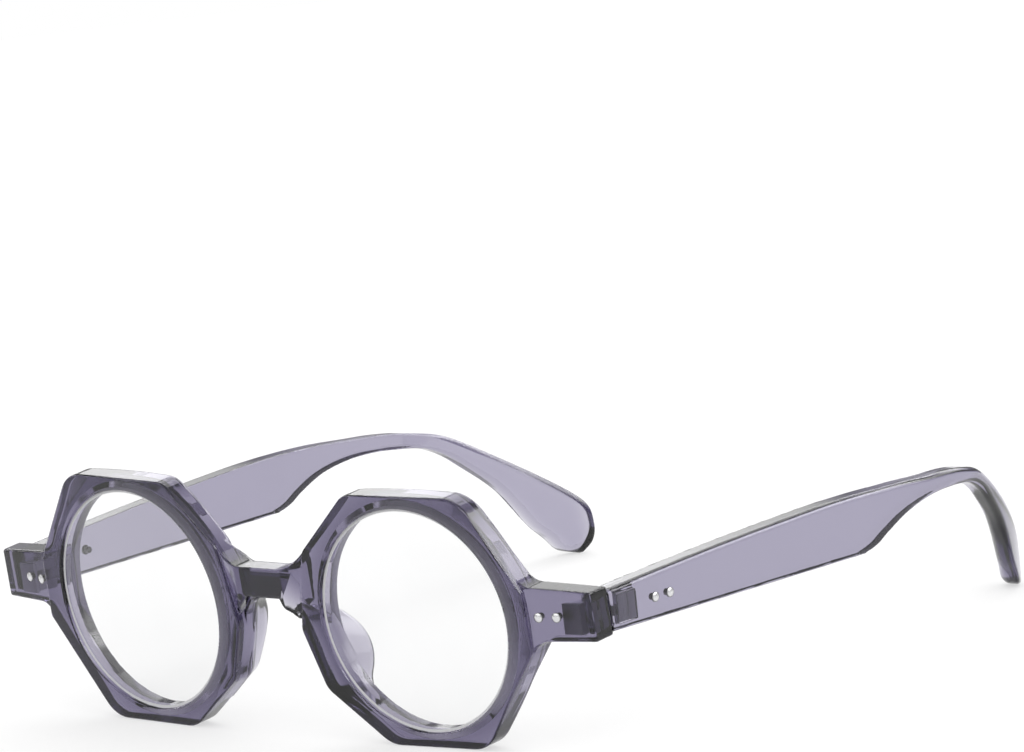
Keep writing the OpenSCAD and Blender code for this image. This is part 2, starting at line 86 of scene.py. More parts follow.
# Corners of the front, as angles round a lens in degrees, and their rounds
TOP_OUT_AT = 58.5
TOP_IN_AT = 116.7
BRIDGE_END_AT = 152.8
NOSE_HIGH_AT = 185.6
NOSE_LOW_AT = -148.8
BOTTOM_IN_AT = -112.3
BOTTOM_OUT_AT = -62.7
SIDE_DOWN_AT = -11.4
SIDE_UP_AT = 13.7
BRIDGE_TOP_ROUND = 8
BRIDGE_LOW_ROUND = 5.5
TOP_IN_ROUND = 4
TOP_OUT_ROUND = 6.5
END_NECK_ROUND = 3.5
END_ROUND = 0.5
SIDE_ROUND = 1
BOTTOM_ROUND = 6
NOSE_LOW_ROUND = 4
NOSE_HIGH_ROUND = 3

# The nose wings, which swell from their top to the middle and shrink again
PAD_DROP = 1
PAD_DEPTH = 7
PAD_FLARE = 3.4
PAD_FLARE_AT_TOP = 0.85
PAD_FLARE_GROWTH = 0.55
PAD_SWELL_START = 0.03
PAD_SWELL_SPAN = 0.94
PAD_SWELL_SKEW = 0.8
PAD_SWELL_FULLNESS = 0.9
PAD_ROOT_T = 3.0
PAD_ROOT_LEAST = 0.45
PAD_ROOT_SINK = 0.1
PAD_ROOT_LEN = 2.2
PAD_EDGE_T = 2.4
PAD_EDGE_LEAST = 0.35
PAD_INSET = 0.004
# Past this depth behind the rim a wing may reach over the opening
PAD_FREE_BEHIND = 1.5

# The temples
TEMPLE_T = 3.8
TEMPLE_LEN = 129
SPLAY = math.radians(2)
STRAIGHT_LEN = 67
TIP_CURVE_R = 97
BLADE_UP = 4.6
BLADE_CREST = 7.2
BLADE_DOWN = 3.1
NECK_LOW = 2.7
BUTT_GAP = 0.3

# Rounding of the edges
FRONT_EDGE = 0.35
END_EDGE = 0.45
HOLE_EDGE = 0.3
GROOVE_EDGE = 0.06
INNER_EDGE = 0.1
REAR_EDGE_LEAST = 0.05
REAR_EDGE_BY_NOSE = 0.65
REAR_EDGE_FADE = 2.5
PAD_END_EDGE = 0.6
PAD_FRONT_EDGE = 0.1
PAD_BLEND_LEAST = 0.02
PAD_BLEND_MOST = 1.2
PAD_BLEND_SLOPE = 0.8
PAD_BLEND_FROM = 0.5
OUTER_EDGE = 0.3
OUTER_EDGE_ABOVE = 0.7
OUTER_EDGE_AT_TIP = 0.6
INNER_FACE_EDGE = 0.2
INNER_FACE_EDGE_AT_TIP = 1.6
BUTT_EDGE = 0.2

# The back of the front: deeper towards the openings and beside the bridge
REAR_FALL = 0.33
BRIDGE_EXTRA_DEPTH = 0.3
BRIDGE_ROUND = 1.6
BRIDGE_SWELL = 1.1
BRIDGE_SWELL_FROM = 4
BRIDGE_SWELL_RISE = 3.5
BRIDGE_SWELL_LEN = 4.5
BRIDGE_SWELL_FALL = 3
BRIDGE_LIP = 0.2
SADDLE_END = 4.2
SADDLE_FADE = 2.5
SADDLE_DEPTH = 4

# The lens groove, and the pocket round a temple's hinge leaf
GROOVE_R = HOLE_R + 1.5
GROOVE_W = 2.9
GROOVE_FLAT = 0.2
POCKET_MID = 3.9
POCKET_HALF_LEN = 2.45
POCKET_UP = 0.4
POCKET_HALF_H = 2.65

# How far helper shapes run past the part of them that counts
PAST_MIDDLE = 20
PAST_BACK = 30
PAST_HOLE = 2
FAR_INSIDE = 9

ARC_STEPS = 14
CURVE_STEPS = 8

CREASE_R = HOLE_R + WALL_SIDE
LENS_U = HOLE_R + BRIDGE_SPAN / 2
LENS_X = LENS_U * math.cos(WRAP)
RIM_UP = HOLE_R + WALL_TOP
RIM_DOWN = HOLE_R + WALL_BOTTOM
RIM_T = FRONT_T / math.cos(WRAP)


def from_lens(r, deg):
    turn = math.radians(deg)
    return (LENS_X + r * math.cos(turn), r * math.sin(turn) - LENS_DROP)


def at_height(r, deg):
    """The point on the ray from the lens that lies r above or below its middle"""
    return from_lens(r / math.sin(math.radians(abs(deg))), deg)


def on_line(a, b, z):
    return (a[0] + (b[0] - a[0]) * (z - a[1]) / (b[1] - a[1]), z)


TOP_OUT = at_height(RIM_UP, TOP_OUT_AT)
TOP_IN = at_height(RIM_UP, TOP_IN_AT)
BOTTOM_IN = at_height(RIM_DOWN, BOTTOM_IN_AT)
BOTTOM_OUT = at_height(RIM_DOWN, BOTTOM_OUT_AT)
NOSE_LOW = from_lens(CREASE_R + OVERHANG, NOSE_LOW_AT)
NOSE_HIGH = from_lens(CREASE_R + OVERHANG, NOSE_HIGH_AT)
BRIDGE_END = from_lens(CREASE_R + OVERHANG, BRIDGE_END_AT)
SIDE_UP = from_lens(CREASE_R, SIDE_UP_AT)
SIDE_DOWN = from_lens(CREASE_R, SIDE_DOWN_AT)
CREASE_X = LENS_X + CREASE_R
END_X = CREASE_X + END_LEN
END_SLOPE = math.tan(WRAP + END_TURN)
END_FACE_Y = CREASE_X * math.tan(WRAP) + CREASE_DEPTH + END_EXTRA_DEPTH
END_T = FRONT_T / math.cos(WRAP + END_TURN)


def end_front_y(x):
    return END_FACE_Y + (x - CREASE_X) * END_SLOPE


def rim_front_y(x):
    return x * math.tan(WRAP)


PIN_X = END_X - PIN_INSET
PIN_Y = end_front_y(PIN_X) + END_T + PIN_BEHIND
REST_LIFT = (BOTTOM_IN[0] + REST_INSET) * math.tan(WRAP) * math.sin(LEAN)
HINGE_Z = (LENS_DROP + RIM_DOWN) * math.cos(LEAN) - REST_LIFT
FRONT_Y = -BRIDGE_RISE * math.cos(LEAN) - BRIDGE_TOP * math.sin(LEAN)
MID_Y = (PIN_Y + TEMPLE_LEN + FRONT_Y) / 2
TEMPLE_IN = KNUCKLE_R + KNUCKLE_GAP

# Camera, solved from the photograph's three-quarter view
SENSOR = 36
IMAGE_W = 1024
FOCAL_PIXELS = 9109.225
camera_data = bpy.data.cameras.new("camera")
camera = bpy.data.objects.new("camera", camera_data)
bpy.context.scene.collection.objects.link(camera)
bpy.context.scene.camera = camera
camera_data.sensor_width = SENSOR
camera_data.lens = FOCAL_PIXELS * SENSOR / IMAGE_W
camera_right = Vector((0.74539076, 0.6586203, -0.10301414))
camera_up = Vector((-0.04093244, 0.19945753, 0.97905119))
camera_back = Vector((0.66536994, -0.72555909, 0.17563273))
camera_place = Vector((1.0816204, -1.1099562 - MID_Y * MM, 0.3122367 + HINGE_Z * MM))
turn = Matrix((camera_right, camera_up, camera_back)).transposed().to_4x4()
camera.matrix_world = Matrix.Translation(camera_place) @ turn
camera_data.clip_start = 0.01
camera_data.clip_end = 100


# Outlines and distances, in millimetres from the front's middle
def polygon_distance(u, v, points):
    """Signed distance to a closed polygon, negative inside"""
    u, v = np.broadcast_arrays(u, v)
    best = np.full(u.shape, 1e12)
    inside = np.zeros(u.shape, bool)
    for (ax, ay), (bx, by) in zip(points, points[1:] + points[:1]):
        ex, ey = bx - ax, by - ay
        if ex * ex + ey * ey < 1e-12:
            continue
        wx, wy = u - ax, v - ay
        t = np.clip((wx * ex + wy * ey) / (ex * ex + ey * ey), 0, 1)
        best = np.minimum(best, (wx - ex * t) ** 2 + (wy - ey * t) ** 2)
        if ey:
            inside ^= ((ay > v) != (by > v)) & (u < ex * (v - ay) / ey + ax)
    best = np.sqrt(best)
    return np.where(inside, -best, best)


def round_max(a, b, r):
    """What two shapes share, with its edge rounded"""
    return np.minimum(-r, np.maximum(a, b)) + np.hypot(np.maximum(r + a, 0), np.maximum(r + b, 0))


def round_min(a, b, r):
    """Two shapes joined, with the inner corner rounded"""
    return np.maximum(r, np.minimum(a, b)) - np.hypot(np.maximum(r - a, 0), np.maximum(r - b, 0))


def corner_arc(a, b, c, r):
    """Points of the arc that rounds the corner b between a and c"""
    a, b, c = np.array(a, float), np.array(b, float), np.array(c, float)
    u = (a - b) / np.linalg.norm(a - b)
    v = (c - b) / np.linalg.norm(c - b)
    half = math.acos(float(np.clip(u @ v, -1, 1))) / 2
    start = b + u * r / math.tan(half)
    end = b + v * r / math.tan(half)
    bisector = (u + v) / np.linalg.norm(u + v)
    mid = b + bisector * r / math.sin(half)
    a0 = math.atan2(start[1] - mid[1], start[0] - mid[0])
    a1 = math.atan2(end[1] - mid[1], end[0] - mid[0])
    sweep = (a1 - a0 + 3 * math.pi) % (2 * math.pi) - math.pi
    angles = [a0 + sweep * i / ARC_STEPS for i in range(ARC_STEPS + 1)]
    return [(mid[0] + r * math.cos(angle), mid[1] + r * math.sin(angle)) for angle in angles]


def rounded(corners):
    """Closed outline from (point, radius) pairs"""
    points = [point for point, r in corners]
    out = []
    for i, (point, r) in enumerate(corners):
        if r > 0:
            out += corner_arc(points[i - 1], point, points[(i + 1) % len(points)], r)
        else:
            out.append(point)
    return out


def curve(p):
    """Smooth line through all the points"""
    out = []
    last = len(p) - 1
    for i in range(last):
        around = (max(i - 1, 0), i, i + 1, min(i + 2, last))
        a, b, c, d = (np.array(p[k], float) for k in around)
        for k in range(CURVE_STEPS):
            t = k / CURVE_STEPS
            square = (2 * a - 5 * b + 4 * c - d) * t * t
            cube = (3 * b - a - 3 * c + d) * t ** 3
            q = 0.5 * (2 * b + (c - a) * t + square + cube)
            out.append((q[0], q[1]))
    out.append(tuple(p[-1]))
    return out


OUTLINE = rounded([
    ((-PAST_MIDDLE, BRIDGE_TOP), 0),
    (on_line(BRIDGE_END, TOP_IN, BRIDGE_TOP), BRIDGE_TOP_ROUND),
    (TOP_IN, TOP_IN_ROUND),
    (TOP_OUT, TOP_OUT_ROUND),
    (on_line(TOP_OUT, SIDE_UP, END_UP + END_TOP_FALL), END_NECK_ROUND),
    ((END_X, END_UP), END_ROUND),
    ((END_X, -END_DOWN), END_ROUND),
    (on_line(SIDE_DOWN, BOTTOM_OUT, -END_DOWN), END_NECK_ROUND),
    (BOTTOM_OUT, BOTTOM_ROUND),
    (BOTTOM_IN, BOTTOM_ROUND),
    (NOSE_LOW, NOSE_LOW_ROUND),
    (on_line(NOSE_LOW, NOSE_HIGH, BRIDGE_LOW), BRIDGE_LOW_ROUND),
    ((-PAST_MIDDLE, BRIDGE_LOW), 0),
])
OCTAGON = rounded([
    (TOP_IN, TOP_IN_ROUND),
    (TOP_OUT, TOP_OUT_ROUND),
    (SIDE_UP, SIDE_ROUND),
    (SIDE_DOWN, SIDE_ROUND),
    (BOTTOM_OUT, BOTTOM_ROUND),
    (BOTTOM_IN, BOTTOM_ROUND),
    (NOSE_LOW, NOSE_LOW_ROUND),
    (NOSE_HIGH, NOSE_HIGH_ROUND),
    (BRIDGE_END, NOSE_HIGH_ROUND),
])
valley_x = (BRIDGE_END[0] + NOSE_HIGH[0]) / 2 - VALLEY_SHIFT
bridge_in = LENS_X - 0.8 * HOLE_R
BRIDGE_PLAN = [
    (-PAST_MIDDLE, -BRIDGE_RISE),
    (BRIDGE_FLAT, -BRIDGE_RISE),
    (valley_x, rim_front_y(valley_x) + CREASE_DEPTH),
    (bridge_in, rim_front_y(bridge_in) + CREASE_DEPTH),
    (bridge_in, PAST_BACK),
    (-PAST_MIDDLE, PAST_BACK),
]
end_in = LENS_X + 0.9 * HOLE_R
END_PLAN = [
    (end_in, rim_front_y(end_in) + CREASE_DEPTH + END_EXTRA_DEPTH),
    (CREASE_X, end_front_y(CREASE_X)),
    (END_X, end_front_y(END_X)),
    (END_X, end_front_y(END_X) + END_T),
    (CREASE_X, end_front_y(CREASE_X) + END_T),
    (end_in, rim_front_y(end_in) + RIM_T),
]
GROOVE = [
    (HOLE_R - PAST_HOLE, -GROOVE_W / 2),
    (HOLE_R, -GROOVE_W / 2),
    (GROOVE_R, -GROOVE_FLAT / 2),
    (GROOVE_R, GROOVE_FLAT / 2),
    (HOLE_R, GROOVE_W / 2),
    (HOLE_R - PAST_HOLE, GROOVE_W / 2),
]
nose_lean = math.atan2(NOSE_LOW[0] - NOSE_HIGH[0], NOSE_HIGH[1] - NOSE_LOW[1])

PAD_TOP = BRIDGE_LOW - PAD_DROP
PAD_LOW = (NOSE_LOW[1] + BOTTOM_IN[1]) / 2

# The nose side runs from the middle of the rim's lowest inner corner up to the bridge
half_arc = (ARC_STEPS + 2) // 2
nose_line = OUTLINE[-1 - 2 * (ARC_STEPS + 1) - half_arc:-1]
nose_line_z = [p[1] for p in nose_line]
nose_line_x = [p[0] for p in nose_line]


def nose_side_x(z):
    return np.interp(z, nose_line_z, nose_line_x)


def wing(u, v, ax, ay, ar, bx, by, br):
    """A tapered bar in plan, from a round of radius ar to a round of radius br"""
    ex, ey = bx - ax, by - ay
    k = np.clip(((u - ax) * ex + (v - ay) * ey) / (ex * ex + ey * ey), 0, 1)
    return np.hypot(u - ax - ex * k, v - ay - ey * k) - ar - (br - ar) * k


def pad_distance(x, y, z):
    t = np.clip((PAD_TOP - z) / (PAD_TOP - PAD_LOW), 0, 1)
    along = (PAD_SWELL_START + PAD_SWELL_SPAN * t) ** PAD_SWELL_SKEW
    swell = np.sin(np.pi * along) ** PAD_SWELL_FULLNESS
    rim_x = nose_side_x(z) + PAD_INSET
    root = rim_front_y(rim_x) + RIM_T
    root_r = PAD_ROOT_T * (PAD_ROOT_LEAST + (1 - PAD_ROOT_LEAST) * swell) / 2
    edge_r = PAD_EDGE_T * (PAD_EDGE_LEAST + (1 - PAD_EDGE_LEAST) * swell) / 2
    ax, ay = rim_x + root_r, root - PAD_ROOT_SINK
    bx = rim_x + PAD_FLARE * (PAD_FLARE_AT_TOP + PAD_FLARE_GROWTH * t) * swell
    by = root + PAD_DEPTH * swell - edge_r
    flat = wing(x, y, ax, ay, root_r, bx, by, edge_r)
    flat = np.minimum(flat, wing(x, y, ax, root - PAD_ROOT_LEN, root_r, ax, ay, root_r))
    return round_max(flat, np.maximum(z - PAD_TOP, PAD_LOW - z), PAD_END_EDGE)


def bridge_rear(x, y, z):
    """Deeper towards the rims, with a saddle cut from the lower front edge up to the rear"""
    from_start = x - BRIDGE_SWELL_FROM
    rise = np.clip(from_start / BRIDGE_SWELL_RISE, 0, 1)
    fall = np.clip((from_start - BRIDGE_SWELL_LEN) / BRIDGE_SWELL_FALL, 0, 1)
    back = y - RIM_T - BRIDGE_EXTRA_DEPTH - BRIDGE_SWELL * (rise - fall)
    saddle = (y - BRIDGE_LIP - (z - BRIDGE_LOW)) / math.sqrt(2)
    fade = np.clip((x - SADDLE_END) / SADDLE_FADE, 0, 1)
    return np.maximum(back, saddle - SADDLE_DEPTH * fade)


def front_distance(x, y, z):
    """The front with its nose wings. Its left half is mirrored."""
    ax = np.abs(x)
    outline = polygon_distance(ax, z, OUTLINE)
    octagon = polygon_distance(ax, z, OCTAGON)
    depth = y * math.cos(WRAP) - ax * math.sin(WRAP)
    across = ax * math.cos(WRAP) + y * math.sin(WRAP) - LENS_U
    ring = np.hypot(across, z + LENS_DROP)
    from_nose = ax - nose_side_x(z)

    rear = (depth - FRONT_T - REAR_FALL * (CREASE_R - ring)) / math.hypot(1, REAR_FALL)
    by_nose = np.clip(from_nose / REAR_EDGE_FADE, 0, 1)
    by_nose = np.where((z > PAD_LOW) & (z < PAD_TOP), by_nose, 1)
    rear_edge = REAR_EDGE_LEAST + REAR_EDGE_BY_NOSE * by_nose
    rim = round_max(round_max(octagon, -depth, FRONT_EDGE), rear, rear_edge)

    tilt = (z - (BRIDGE_TOP + BRIDGE_LOW) / 2) * math.tan(nose_lean)
    along = np.clip((ax - BRIDGE_FLAT) / (valley_x - BRIDGE_FLAT), 0, 1)
    plan = polygon_distance(ax - tilt * along, y, BRIDGE_PLAN)
    bridge = round_max(outline, plan, FRONT_EDGE)
    bridge = round_max(bridge, bridge_rear(ax, y, z), BRIDGE_ROUND)
    bridge = np.maximum(bridge, np.maximum(-CREASE_R / 2 - z, z - CREASE_R))

    end = round_max(outline, polygon_distance(ax, y, END_PLAN), END_EDGE)
    end = np.maximum(end, np.abs(z) - CREASE_R / 2)

    solid = round_min(round_min(rim, bridge, INNER_EDGE), end, INNER_EDGE)
    solid = round_max(solid, HOLE_R - ring, HOLE_EDGE)
    groove = polygon_distance(ring, depth - FRONT_T / 2, GROOVE)
    solid = round_max(solid, -groove, GROOVE_EDGE)

    opening = np.where(depth > FRONT_T + PAD_FREE_BEHIND, -FAR_INSIDE, HOLE_R - ring)
    pad = round_max(pad_distance(ax, y, z), FRONT_T / 2 - depth, PAD_FRONT_EDGE)
    pad = round_max(pad, opening, HOLE_EDGE)
    blend = (from_nose - PAD_BLEND_FROM) * PAD_BLEND_SLOPE
    return round_min(solid, pad, np.clip(blend, PAD_BLEND_LEAST, PAD_BLEND_MOST))


def blade_at(share, up):
    return (share * TEMPLE_LEN, up)


# A temple from the side: its upper edge to the tip, then its lower edge back
BLADE = curve([
    (-PIN_Y, 0.8 * BLADE_UP),
    blade_at(0.1705, 0.82 * BLADE_CREST),
    blade_at(0.372, 0.972 * BLADE_CREST),
    blade_at(0.473, BLADE_CREST),
    blade_at(0.5775, 0.944 * BLADE_CREST),
    blade_at(0.651, 0.847 * BLADE_CREST),
    blade_at(0.7055, 0.778 * BLADE_CREST),
    blade_at(0.76, 1.69 * NECK_LOW),
    blade_at(0.8125, 0.96 * NECK_LOW),
    blade_at(0.882, -0.117 * HINGE_Z),
    blade_at(0.947, -0.368 * HINGE_Z),
    blade_at(0.99, -0.5815 * HINGE_Z),
    blade_at(0.9992, -0.7655 * HINGE_Z),
    blade_at(0.9955, -0.908 * HINGE_Z),
    blade_at(0.9815, -HINGE_Z),
]) + curve([
    blade_at(0.9815, -HINGE_Z),
    blade_at(0.961, -0.958 * HINGE_Z),
    blade_at(0.946, -0.8535 * HINGE_Z),
    blade_at(0.9287, -0.7447 * HINGE_Z),
    blade_at(0.907, -0.569 * HINGE_Z),
    blade_at(0.879, -0.368 * HINGE_Z),
    blade_at(0.8388, -0.1673 * HINGE_Z),
    blade_at(0.8093, -0.0377 * HINGE_Z),
    blade_at(0.7737, 0.4615 * NECK_LOW),
    blade_at(0.7256, 0.846 * NECK_LOW),
    blade_at(0.6822, NECK_LOW),
    blade_at(0.6357, 0.885 * NECK_LOW),
    blade_at(0.589, 0.46 * NECK_LOW),
    blade_at(0.5465, -0.28 * BLADE_DOWN),
    blade_at(0.5215, -0.79 * BLADE_DOWN),
    blade_at(0.496, -1.06 * BLADE_DOWN),
    blade_at(0.465, -1.1 * BLADE_DOWN),
    (-PIN_Y, -0.903 * BLADE_DOWN),
])

# Where the outer edge's round grows: above this height, and from the neck on
UPPER_FROM = 1.5
UPPER_RISE = 3
NECK_FROM = 0.7 * TEMPLE_LEN
NECK_GROWTH = 0.2
TIP_FROM = 0.72 * TEMPLE_LEN
TIP_RISE = 25


def temple_distance(x, y, z):
    """The left temple. Its blade is bent inward past the straight part."""
    dx, dy = x - PIN_X, y - PIN_Y
    u = dx * math.cos(SPLAY) - dy * math.sin(SPLAY)
    v = dx * math.sin(SPLAY) + dy * math.cos(SPLAY)
    off = u - TEMPLE_IN - TEMPLE_T / 2
    bent = np.hypot(off + TIP_CURVE_R, v - STRAIGHT_LEN) - TIP_CURVE_R
    side = np.where(v < STRAIGHT_LEN, off, bent)
    plan = np.abs(side) - TEMPLE_T / 2
    upper = (z - UPPER_FROM) / UPPER_RISE + np.maximum(dy - NECK_FROM, 0) * NECK_GROWTH
    upper = np.clip(upper, 0, 1)
    tip = np.clip((dy - TIP_FROM) / TIP_RISE, 0, 1)
    outer_edge = OUTER_EDGE + OUTER_EDGE_ABOVE * upper + OUTER_EDGE_AT_TIP * tip
    inner_edge = INNER_FACE_EDGE + INNER_FACE_EDGE_AT_TIP * tip
    edge = np.where(side > 0, outer_edge, inner_edge)
    blade = round_max(plan, polygon_distance(dy, z, BLADE), edge)
    butt_y = end_front_y(x) + END_T + BUTT_GAP
    butt = (butt_y - y * math.cos(LEAN) - z * math.sin(LEAN)) * math.cos(WRAP + END_TURN)
    blade = round_max(blade, butt, BUTT_EDGE)
    pocket_v = np.abs(v - POCKET_MID) - POCKET_HALF_LEN
    pocket_z = np.abs(z - POCKET_UP) - POCKET_HALF_H
    pocket = np.maximum(np.maximum(pocket_v, pocket_z), u - TEMPLE_IN - PLATE_T)
    return round_max(blade, -pocket, INNER_EDGE)


# Meshes from distances
CORNERS = np.array([(i, j, k) for i in (0, 1) for j in (0, 1) for k in (0, 1)])
CELL_EDGES = [
    (a, b) for a in range(8) for b in range(a + 1, 8)
    if np.abs(CORNERS[a] - CORNERS[b]).sum() == 1
]


SLOPE_STEP = 0.02
LEAST_SLOPE = 0.2
DRAWS = 3


def slope(distance, p):
    """The distance at the points and its gradient there"""
    h = SLOPE_STEP
    base = distance(p[:, 0], p[:, 1], p[:, 2])
    grad = np.stack([
        (distance(*(p + h * axis).T) - distance(*(p - h * axis).T)) / (2 * h) for axis in np.eye(3)
    ], 1)
    return base, grad


def skin(distance, low, high, step):
    """Closed quad mesh of a distance function, its points drawn exactly onto the surface"""
    counts = [int(math.ceil((high[i] - low[i]) / step)) + 1 for i in range(3)]
    axes = [low[i] + step * np.arange(counts[i]) for i in range(3)]
    d = distance(axes[0][:, None, None], axes[1][None, :, None], axes[2][None, None, :])
    d = d.astype(np.float32)
    inside = d < 0
    n = np.array(d.shape)
    count = np.zeros(n - 1, np.int8)
    for i, j, k in CORNERS:
        count += inside[i:n[0] - 1 + i, j:n[1] - 1 + j, k:n[2] - 1 + k]
    mixed = (count > 0) & (count < 8)
    cells = np.argwhere(mixed)
    number = np.full(n - 1, -1, np.int32)
    number[mixed] = np.arange(len(cells))
    values = np.stack([d[tuple((cells + c).T)] for c in CORNERS], 1)
    total = np.zeros((len(cells), 3))
    hits = np.zeros(len(cells))
    for a, b in CELL_EDGES:
        crosses = (values[:, a] < 0) != (values[:, b] < 0)
        t = np.where(crosses, values[:, a] / np.where(crosses, values[:, a] - values[:, b], 1), 0)
        total += np.where(crosses[:, None], CORNERS[a] + t[:, None] * (CORNERS[b] - CORNERS[a]), 0)
        hits += crosses
    points = np.array(low) + step * (cells + total / hits[:, None])
    quads = []
    for axis in range(3):
        first = [slice(1, -1)] * 3
        second = [slice(1, -1)] * 3
        first[axis], second[axis] = slice(0, -1), slice(1, None)
        near, far = inside[tuple(first)], inside[tuple(second)]
        at = np.argwhere(near != far)
        shift = np.ones(3, int)
        shift[axis] = 0
        at = at + shift
        out = near[tuple((at - shift).T)]
        p, q = np.eye(3, dtype=int)[(axis + 1) % 3], np.eye(3, dtype=int)[(axis + 2) % 3]
        turns = ((0, 0), (1, 0), (1, 1), (0, 1))
        ring = np.stack([number[tuple((at - a * p - b * q).T)] for a, b in turns], 1)
        quads.append(np.where(out[:, None], ring[:, ::-1], ring)[:, ::-1])
    quads = np.concatenate(quads)
    for _ in range(DRAWS):
        base, grad = slope(distance, points)
        steep = np.maximum((grad ** 2).sum(1), LEAST_SLOPE)
        move = np.clip(base / steep, -step / 2, step / 2)
        points -= move[:, None] * grad
    base, grad = slope(distance, points)
    return points, quads, grad / np.maximum(np.linalg.norm(grad, axis=1), 1e-9)[:, None]


def make(name, points, faces, normals, material):
    """points in millimetres, in the row frame"""
    mesh = bpy.data.meshes.new(name)
    mesh.from_pydata((points * MM).tolist(), [], faces)
    mesh.update()
    for polygon in mesh.polygons:
        polygon.use_smooth = True
    if normals is not None:
        mesh.normals_split_custom_set_from_vertices(normals.tolist())
    piece = bpy.data.objects.new(name, mesh)
    bpy.context.scene.collection.objects.link(piece)
    mesh.materials.append(material)
    return piece


def stand(p):
    """From the hinge line and the front's middle to the row frame"""
    return p + np.array([0, -MID_Y, HINGE_Z])


LEAN_TURN = np.array([
    [1, 0, 0],
    [0, math.cos(LEAN), -math.sin(LEAN)],
    [0, math.sin(LEAN), math.cos(LEAN)],
])


# Nodes and materials
def nodes_of(name):
    material = bpy.data.materials.new(name)
    material.use_nodes = True
    tree = material.node_tree
    for n in list(tree.nodes):
        tree.nodes.remove(n)
    return material, tree


def add(tree, kind, inputs=None, **settings):
    """New node with settings and input values, where a socket as a value is linked"""
    node = tree.nodes.new(kind)
    for key, value in settings.items():
        setattr(node, key, value)
    for key, value in (inputs or {}).items():
        if isinstance(value, bpy.types.NodeSocket):
            tree.links.new(value, node.inputs[key])
        else:
            node.inputs[key].default_value = value
    return node


def noise(tree, scale, detail=2):
    place = add(tree, "ShaderNodeTexCoord").outputs["Object"]
    values = {"Vector": place, "Scale": scale, "Detail": detail}
    return add(tree, "ShaderNodeTexNoise", values).outputs["Fac"]


def mix(tree, factor, a, b):
    """Colour between a and b"""
    return add(tree, "ShaderNodeMix", {0: factor, 6: a, 7: b}, data_type="RGBA").outputs[2]


def scaled(tree, colour, factor):
    values = {0: colour, "Scale": factor}
    return add(tree, "ShaderNodeVectorMath", values, operation="SCALE").outputs[0]


def ranged(tree, value, low, high, start=0, end=1):
    """A value between start and end, moved to low and high"""
    values = {"Value": value, "From Min": start, "From Max": end, "To Min": low, "To Max": high}
    return add(tree, "ShaderNodeMapRange", values).outputs["Result"]


def bumped(tree, height, strength, distance):
    values = {"Height": height, "Strength": strength, "Distance": distance}
    return add(tree, "ShaderNodeBump", values).outputs["Normal"]


def shade(colour, factor):
    return (*[min(1, c * factor) for c in colour], 1)


def plastic(name, tint, absorb, density, haze=0.02):
    """Clear plastic that takes its colour from its depth, with a faint cloud and a soft polish"""
    material, tree = nodes_of(name)
    cloud = noise(tree, scale=60, detail=3)
    fine = noise(tree, scale=900, detail=4)
    shader = add(tree, "ShaderNodeBsdfPrincipled", {
        "Base Color": mix(tree, cloud, shade(tint, 0.96), shade(tint, 1.02)),
        "Roughness": ranged(tree, fine, haze * 0.6, haze * 1.8),
        "Normal": bumped(tree, cloud, strength=0.02, distance=0.0002),
        "Transmission Weight": 1,
        "IOR": 1.49,
    })
    volume = add(tree, "ShaderNodeVolumeAbsorption", {"Color": (*absorb, 1), "Density": density})
    surface = shader.outputs[0]
    add(tree, "ShaderNodeOutputMaterial", {"Surface": surface, "Volume": volume.outputs[0]})
    return material


def ground(name, colour):
    """The matt white of a lens edge as it leaves the grinding wheel"""
    material, tree = nodes_of(name)
    grit = noise(tree, scale=3000)
    shader = add(tree, "ShaderNodeBsdfPrincipled", {
        "Base Color": mix(tree, grit, shade(colour, 0.9), shade(colour, 1)),
        "Roughness": 0.6,
        "Normal": bumped(tree, grit, strength=0.3, distance=0.00005),
    })
    add(tree, "ShaderNodeOutputMaterial", {"Surface": shader.outputs[0]})
    return material


def metal(name, colour, roughness, look=None):
    """Brushed metal. look can change the colour's socket before it's used."""
    material, tree = nodes_of(name)
    grain = noise(tree, scale=2000, detail=5)
    base = mix(tree, grain, shade(colour, 0.85), shade(colour, 1.1))
    shader = add(tree, "ShaderNodeBsdfPrincipled", {
        "Base Color": look(tree, base) if look else base,
        "Roughness": ranged(tree, grain, roughness * 0.7, roughness * 1.4),
        "Metallic": 1,
    })
    add(tree, "ShaderNodeOutputMaterial", {"Surface": shader.outputs[0]})
    return material


def rivet(name, axis):
    """Bright metal dome with painted shade: its colour darkens towards the rim, where it sinks into
    the plastic, as the normal turns away from axis. axis points out of the head.
    """
    # The painted shade at the dome's rim: its darkest share, and the normal against axis where it
    # starts and ends
    painted_rim_shade, shade_from, shade_to = 0.1, 0.89, 0.925

    # Paints shade into the colour: darker as the normal turns away from axis
    def look(tree, base):
        normal = add(tree, "ShaderNodeTexCoord").outputs["Normal"]
        facing = add(tree, "ShaderNodeVectorMath", {0: normal, 1: axis}, operation="DOT_PRODUCT")
        painted_shade_factor = ranged(tree, facing.outputs["Value"], painted_rim_shade, 1, shade_from, shade_to)
        return scaled(tree, base, painted_shade_factor)

    return metal(name, (0.74, 0.74, 0.75), roughness=0.28, look=look)


front_plastic = plastic(
    "smoky_front_plastic", tint=(0.96, 0.96, 0.975), absorb=(0.25, 0.20, 0.40), density=420
)
temple_plastic = plastic(
    "smoky_temple_plastic", tint=(0.94, 0.94, 0.96), absorb=(0.20, 0.15, 0.36), density=275
)
lens_plastic = plastic(
    "clear_lens_plastic", tint=(0.94, 0.94, 0.94), absorb=(0.5, 0.6, 0.65), density=6, haze=0.004
)
ground_edge = ground("ground_lens_edge", (0.93, 0.93, 0.94))
hinge_steel = metal("hinge_steel", (0.42, 0.41, 0.46), roughness=0.34)
screw_steel = metal("screw_steel", (0.5, 0.5, 0.52), roughness=0.25)

